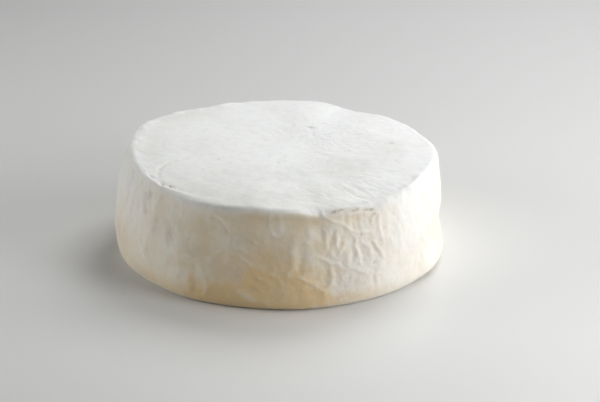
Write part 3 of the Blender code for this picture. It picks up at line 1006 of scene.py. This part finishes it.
def make_wheel_mesh(look):
    """The mesh of the whole rind: turned, settled, folded and set on its axis."""
    rind = Rind()
    places = rind.settled()
    rind.waver(places)
    mesh = bpy.data.meshes.new("white_rind")
    mesh.from_pydata(places.tolist(), [], rind.faces())
    mesh.update()
    normals = np.zeros(len(mesh.vertices) * 3)
    mesh.vertex_normals.foreach_get("vector", normals)
    normals = normals.reshape(-1, 3)
    top_share = ramp(normals[:, 2], 1.0)
    calm = ramp(places[:, 2], CALM_HEIGHT)
    coarse = coarse_relief(rind, places, top_share) * calm
    fine = fine_relief(rind, places, top_share) * calm * look.fold_strength
    places = places + (coarse + fine)[:, None] * normals
    middle = (places.min(axis=0) + places.max(axis=0)) / 2
    wanted = np.mean([list(corner) for corner in CAD_BOX], axis=0)
    places[:, :2] += (wanted - middle)[:2]
    mesh.vertices.foreach_set("co", places.reshape(-1))
    mesh.update()
    mesh.shade_smooth()
    flat = mesh.uv_layers.new(name=BAKE_MAP)
    flat.data.foreach_set("uv", rind.unrolled().reshape(-1))
    hollow = rind.softened(fine, HOLLOW_REACH, HOLLOW_ROUNDS) - fine
    paint(mesh, "top", top_share)
    paint(mesh, "hollow", np.clip(hollow / HOLLOW_DEPTH, -1, 1))
    # These fields hold painted shade and painted warm bounce light as well as the rind's own tints.
    ivory_and_shade = IVORY_EVERYWHERE + patch_sum(IVORY_AND_SHADE_PATCHES, rind)
    paint(mesh, "ivory_and_shade", np.clip(ivory_and_shade, 0, 1))
    paint(mesh, "ochre_and_bounce", np.clip(patch_sum(OCHRE_AND_BOUNCE_PATCHES, rind), 0, 1))
    paint(mesh, "worn_and_shade", np.clip(patch_sum(WORN_AND_SHADE_PATCHES, rind), 0, 1))
    paint(mesh, "rough", patch_sum(ROUGH_PATCHES, rind))
    paint(mesh, "smudge_and_shade", spots(rind, SMUDGES_AND_SHADE))
    paint(mesh, "dash", spots(rind, DASHES))
    return mesh


class Value:
    """A number on its way through a material. Sums and products of values add Math nodes."""

    def __init__(self, graph, socket):
        self.graph = graph
        self.socket = socket

    def __add__(self, other):
        return self.graph.math("ADD", self, other)

    def __radd__(self, other):
        return self.graph.math("ADD", other, self)

    def __sub__(self, other):
        return self.graph.math("SUBTRACT", self, other)

    def __rsub__(self, other):
        return self.graph.math("SUBTRACT", other, self)

    def __mul__(self, other):
        return self.graph.math("MULTIPLY", self, other)

    def __rmul__(self, other):
        return self.graph.math("MULTIPLY", other, self)


class Graph:
    """The nodes of one material."""

    def __init__(self, name):
        self.material = bpy.data.materials.new(name)
        self.material.use_nodes = True
        self.tree = self.material.node_tree
        self.shader = self.tree.nodes["Principled BSDF"]

    def add(self, kind, settings=(), sockets=(), output=0):
        """Add a node with its settings, then its sockets' values or links, and give one output."""
        node = self.tree.nodes.new(kind)
        for name, value in dict(settings).items():
            setattr(node, name, value)
        for key, value in dict(sockets).items():
            self.feed(node.inputs[key], value)
        return Value(self, node.outputs[output])

    def feed(self, socket, value):
        """Link a value to a socket, or set the socket to a plain number or colour."""
        if isinstance(value, Value):
            self.tree.links.new(value.socket, socket)
        else:
            socket.default_value = value

    def math(self, operation, first, second):
        """One Math node on two numbers."""
        return self.add("ShaderNodeMath", {"operation": operation}, {0: first, 1: second})

    def smooth(self, value, low, high):
        """A soft ramp from 0 at the low end to 1 at the high end."""
        settings = {"interpolation_type": "SMOOTHSTEP"}
        sockets = {"Value": value, "From Min": low, "From Max": high}
        return self.add("ShaderNodeMapRange", settings, sockets)

    def mix(self, first, second, share):
        """Two colours mixed."""
        settings = {"data_type": "RGBA"}
        sockets = {MIX_SHARE: share, MIX_FIRST: first, MIX_SECOND: second}
        return self.add("ShaderNodeMix", settings, sockets, output=MIX_RESULT)

    def noise(self, place, cloud):
        """Cloudy noise whose patches have about the size of the cloud."""
        sockets = {
            "Vector": place,
            "Scale": 1 / cloud.size,
            "Detail": cloud.detail,
            "Roughness": cloud.roughness,
        }
        return self.add("ShaderNodeTexNoise", {}, sockets, output="Fac")

    def painted(self, name):
        """A number that was painted on the mesh."""
        return self.add("ShaderNodeAttribute", {"attribute_name": name}, output="Fac")


def rind_material(look):
    """The bloomy white rind: ivory where its bloom is thin, ochre low down, grey where worn, with
    painted shade in hollows, on the wall and on the top, and painted warm bounce light low down.
    """
    graph = Graph("white_rind")
    place = graph.add("ShaderNodeTexCoord", output="Object")
    top = graph.painted("top")
    hollow = graph.painted("hollow")
    clouds = graph.noise(place, CLOUDS)
    mottle = graph.noise(place, MOTTLE)
    felt = graph.noise(place, FELT)
    fuzz = graph.noise(place, FUZZ)

    thin = clouds * THIN_CLOUDS + mottle * THIN_MOTTLE + felt * THIN_FELT
    # Ivory of thin bloom, with painted warm shade on the front of the wall.
    ivory_and_shade = graph.painted("ivory_and_shade") * (THICK_IVORY_AND_SHADE + THIN_IVORY_AND_SHADE * graph.smooth(thin, *THIN_RANGE))
    colour = graph.mix(look.bloom_colour, look.ivory_and_shade_colour, ivory_and_shade * (1 - top))
    # Ochre tint, with painted warm bounce light low on the wall.
    ochre_and_bounce = graph.painted("ochre_and_bounce") * (OCHRE_AND_BOUNCE_EVEN + OCHRE_AND_BOUNCE_MOTTLE * mottle)
    ochre_and_bounce = graph.smooth(ochre_and_bounce, *OCHRE_AND_BOUNCE_RANGE)
    colour = graph.mix(colour, look.ochre_and_bounce_colour, ochre_and_bounce * OCHRE_AND_BOUNCE_STRENGTH)
    # Worn grey bloom, with painted shade on the top towards its front and left.
    worn_and_shade = graph.smooth(mottle * WORN_AND_SHADE_MOTTLE + felt * WORN_AND_SHADE_FELT, *WORN_AND_SHADE_RANGE)
    colour = graph.mix(colour, look.worn_and_shade_colour, graph.painted("worn_and_shade") * top * worn_and_shade)
    speckle = graph.smooth(felt, *FINE_SPECKLE_RANGE) * (FINE_SPECKLE + FINE_SPECKLE_TOP * top)
    speckle += graph.smooth(mottle, *COARSE_SPECKLE_RANGE) * top * COARSE_SPECKLE
    colour = graph.mix(colour, look.worn_and_shade_colour, speckle)
    # Painted shade: the hollows of the folds and creases turn darker.
    painted_crease_shade = graph.smooth(hollow, *CREASE_SHADE_RANGE) * (CREASE_SHADE - CREASE_SHADE_TOP * top)
    colour = graph.mix(colour, look.crease_shade_colour, painted_crease_shade)
    white = graph.smooth(hollow, *RIDGE_RANGE) * RIDGE_BLOOM
    colour = graph.mix(colour, look.bloom_colour, white)
    # Grey smudges, with painted shade on the rim and the wall.
    broken = MARK_EVEN + MARK_BROKEN * graph.smooth(mottle, *SMUDGE_AND_SHADE_RANGE)
    colour = graph.mix(colour, look.smudge_and_shade_colour, graph.painted("smudge_and_shade") * broken)
    broken = MARK_EVEN + MARK_BROKEN * graph.smooth(felt, *DASH_RANGE)
    colour = graph.mix(colour, look.dash_colour, graph.painted("dash") * broken)
    graph.feed(graph.shader.inputs["Base Color"], colour)

    roughness = RIND_ROUGHNESS + FELT_ROUGHNESS * felt - OCHRE_AND_BOUNCE_SMOOTHNESS * ochre_and_bounce
    graph.feed(graph.shader.inputs["Roughness"], roughness)
    rough = graph.painted("rough")
    height = (felt * FELT_HEIGHT + fuzz * FUZZ_HEIGHT) * (1 + ROUGH_HEIGHT * rough)
    height += graph.noise(place, PEBBLES) * rough * PEBBLE_HEIGHT
    bumps = {"Strength": 1.0, "Distance": look.felt_depth, "Height": height}
    normal = graph.add("ShaderNodeBump", {}, bumps, output="Normal")
    graph.feed(graph.shader.inputs["Normal"], normal)
    for name, value in RIND_FINISH.items():
        graph.shader.inputs[name].default_value = value
    return graph.material


def floor_mesh():
    """A round flat floor that curves up at its far rim."""
    rings = [(FLOOR_FLAT_RADIUS, 0.0)]
    for step in range(1, FLOOR_CURVE_STEPS + 1):
        turn = math.pi / 2 * step / FLOOR_CURVE_STEPS
        radius = FLOOR_FLAT_RADIUS + (FLOOR_RIM_RADIUS - FLOOR_FLAT_RADIUS) * math.sin(turn)
        rings.append((radius, FLOOR_RIM_HEIGHT * (1 - math.cos(turn))))
    points = []
    for radius, height in rings:
        for step in range(FLOOR_STEPS):
            around = 2 * math.pi * step / FLOOR_STEPS
            points.append((radius * math.cos(around), radius * math.sin(around), height))
    faces = [tuple(range(FLOOR_STEPS))]
    for ring in range(len(rings) - 1):
        inner = ring * FLOOR_STEPS
        for step in range(FLOOR_STEPS):
            after = (step + 1) % FLOOR_STEPS
            outer = inner + FLOOR_STEPS
            faces.append((inner + step, outer + step, outer + after, inner + after))
    mesh = bpy.data.meshes.new("floor")
    mesh.from_pydata(points, [], faces)
    mesh.shade_smooth()
    return mesh


def floor_material(stage):
    """A plain pale table top with a soft shine."""
    graph = Graph("pale_floor")
    place = graph.add("ShaderNodeTexCoord", output="Object")
    clouds = graph.noise(place, FLOOR_CLOUDS)
    colour = graph.mix(stage.floor_colour, stage.floor_shade, clouds * FLOOR_CLOUDINESS)
    graph.feed(graph.shader.inputs["Base Color"], colour)
    roughness = FLOOR_ROUGHNESS + FLOOR_CLOUD_ROUGHNESS * clouds
    graph.feed(graph.shader.inputs["Roughness"], roughness)
    return graph.material


def add_lamp(lamp, strength):
    """One square soft light that faces the wheel."""
    light = bpy.data.lights.new(lamp.name, "AREA")
    light.energy = lamp.power * strength
    light.size = lamp.size
    light.color = lamp.colour
    holder = bpy.data.objects.new(lamp.name, light)
    around = math.radians(lamp.azimuth)
    above = math.radians(lamp.elevation)
    aside = math.cos(above)
    way = Vector((math.sin(around) * aside, -math.cos(around) * aside, math.sin(above)))
    holder.location = way * lamp.distance
    holder.rotation_euler = way.to_track_quat("Z", "Y").to_euler()
    bpy.context.scene.collection.objects.link(holder)


class CheeseRindSettings(bpy.types.PropertyGroup):
    """The sizes and colours of the rind."""

    fold_strength: bpy.props.FloatProperty(
        name="Fold strength", description="How strongly the fine folds and the grain stand out",
        default=1.0, min=0.0, max=2.0, subtype="FACTOR")
    felt_depth: bpy.props.FloatProperty(
        name="Felt depth", description="The depth of the felt of the bloom",
        default=0.00025, min=0.0, max=0.001, precision=5, unit="LENGTH")
    bloom_colour: bpy.props.FloatVectorProperty(
        name="Bloom", description="The rind where the white bloom is thick",
        default=(0.93, 0.935, 0.93, 1.0), size=4, min=0.0, max=1.0, subtype="COLOR")
    # Also the colour of painted warm shade on the front of the wall.
    ivory_and_shade_colour: bpy.props.FloatVectorProperty(
        name="Ivory", description="The rind where the bloom is thin",
        default=(0.77, 0.655, 0.48, 1.0), size=4, min=0.0, max=1.0, subtype="COLOR")
    # Also the colour of painted warm bounce light low on the wall.
    ochre_and_bounce_colour: bpy.props.FloatVectorProperty(
        name="Ochre", description="The warm tint low on the wall",
        default=(0.80, 0.57, 0.26, 1.0), size=4, min=0.0, max=1.0, subtype="COLOR")
    # The colour of painted shade in the hollows of the folds and creases.
    crease_shade_colour: bpy.props.FloatVectorProperty(
        name="Hollows", description="The bottoms of the creases",
        default=(0.62, 0.55, 0.45, 1.0), size=4, min=0.0, max=1.0, subtype="COLOR")
    # Also the colour of painted shade on the top towards its front and left.
    worn_and_shade_colour: bpy.props.FloatVectorProperty(
        name="Worn", description="The top where its bloom is worn",
        default=(0.71, 0.705, 0.675, 1.0), size=4, min=0.0, max=1.0, subtype="COLOR")
    # Also the colour of broad painted shade on the rim and the wall.
    smudge_and_shade_colour: bpy.props.FloatVectorProperty(
        name="Smudges", description="The small grey smudges on the top",
        default=(0.42, 0.42, 0.41, 1.0), size=4, min=0.0, max=1.0, subtype="COLOR")
    dash_colour: bpy.props.FloatVectorProperty(
        name="Rim dashes", description="The brown dashes under the rim",
        default=(0.34, 0.27, 0.19, 1.0), size=4, min=0.0, max=1.0, subtype="COLOR")


class CheeseStageSettings(bpy.types.PropertyGroup):
    """The floor and the lights of the studio."""

    floor_colour: bpy.props.FloatVectorProperty(
        name="Floor", description="The colour of the table top",
        default=(0.74, 0.74, 0.735, 1.0), size=4, min=0.0, max=1.0, subtype="COLOR")
    floor_shade: bpy.props.FloatVectorProperty(
        name="Floor shade", description="The darker clouds of the table top",
        default=(0.68, 0.68, 0.675, 1.0), size=4, min=0.0, max=1.0, subtype="COLOR")
    lamp_strength: bpy.props.FloatProperty(
        name="Lamps", description="How strong the lamps are",
        default=1.0, min=0.0, max=5.0, subtype="FACTOR")
    sky_strength: bpy.props.FloatProperty(
        name="Sky", description="How strong the even light from all around is",
        default=0.02, min=0.0, max=5.0, subtype="FACTOR")


class CHEESE_OT_make_wheel(bpy.types.Operator):
    """Make the wheel of cheese in its rind"""

    bl_idname = "cheese.make_wheel"
    bl_label = "Cheese wheel"

    def execute(self, context):
        look = context.scene.cheese_rind
        mesh = make_wheel_mesh(look)
        mesh.materials.append(rind_material(look))
        wheel = bpy.data.objects.new("white_rind", mesh)
        context.scene.collection.objects.link(wheel)
        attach(wheel, BODY)
        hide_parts(NODE)
        return {"FINISHED"}


class CHEESE_OT_make_stage(bpy.types.Operator):
    """Make the floor, the lights and the camera"""

    bl_idname = "cheese.make_stage"
    bl_label = "Studio"

    def execute(self, context):
        stage = context.scene.cheese_stage
        mesh = floor_mesh()
        mesh.materials.append(floor_material(stage))
        floor = bpy.data.objects.new("floor", mesh)
        context.scene.collection.objects.link(floor)
        for lamp in LAMPS:
            add_lamp(lamp, stage.lamp_strength)
        world = bpy.data.worlds.new("even_light")
        world.use_nodes = True
        sky = world.node_tree.nodes["Background"]
        sky.inputs["Color"].default_value = SKY_COLOUR
        sky.inputs["Strength"].default_value = stage.sky_strength
        context.scene.world = world
        context.scene.view_settings.view_transform = "Standard"
        lens = bpy.data.cameras.new("camera")
        lens.lens = CAMERA_LENS
        lens.sensor_width = CAMERA_SENSOR
        camera = bpy.data.objects.new("camera", lens)
        camera.location = CAMERA_PLACE
        camera.rotation_euler = (math.pi / 2 - CAMERA_DIP, 0, 0)
        context.scene.collection.objects.link(camera)
        bpy.context.scene.camera = camera
        return {"FINISHED"}


class VIEW3D_PT_cheese(bpy.types.Panel):
    """The parts of the cheese and its studio"""

    bl_label = "Soft goat cheese"
    bl_idname = "VIEW3D_PT_cheese"
    bl_space_type = "VIEW_3D"
    bl_region_type = "UI"
    bl_category = "Cheese"

    def draw(self, context):
        for operator, settings in (
            (CHEESE_OT_make_wheel, context.scene.cheese_rind),
            (CHEESE_OT_make_stage, context.scene.cheese_stage),
        ):
            self.layout.operator(operator.bl_idname)
            for name in settings.bl_rna.properties.keys():
                if name in settings.__annotations__:
                    self.layout.prop(settings, name)


CLASSES = (
    CheeseRindSettings,
    CheeseStageSettings,
    CHEESE_OT_make_wheel,
    CHEESE_OT_make_stage,
    VIEW3D_PT_cheese,
)


def register():
    """Make the settings, the operators and the panel known."""
    for kind in CLASSES:
        bpy.utils.register_class(kind)
    bpy.types.Scene.cheese_rind = bpy.props.PointerProperty(type=CheeseRindSettings)
    bpy.types.Scene.cheese_stage = bpy.props.PointerProperty(type=CheeseStageSettings)


def unregister():
    """Take the settings, the operators and the panel away again."""
    del bpy.types.Scene.cheese_stage
    del bpy.types.Scene.cheese_rind
    for kind in reversed(CLASSES):
        bpy.utils.unregister_class(kind)


def main():
    """Make the wheel and its studio."""
    register()
    bpy.ops.cheese.make_wheel()
    bpy.ops.cheese.make_stage()
    bpy.context.view_layer.update()


if __name__ == "__main__":
    main()
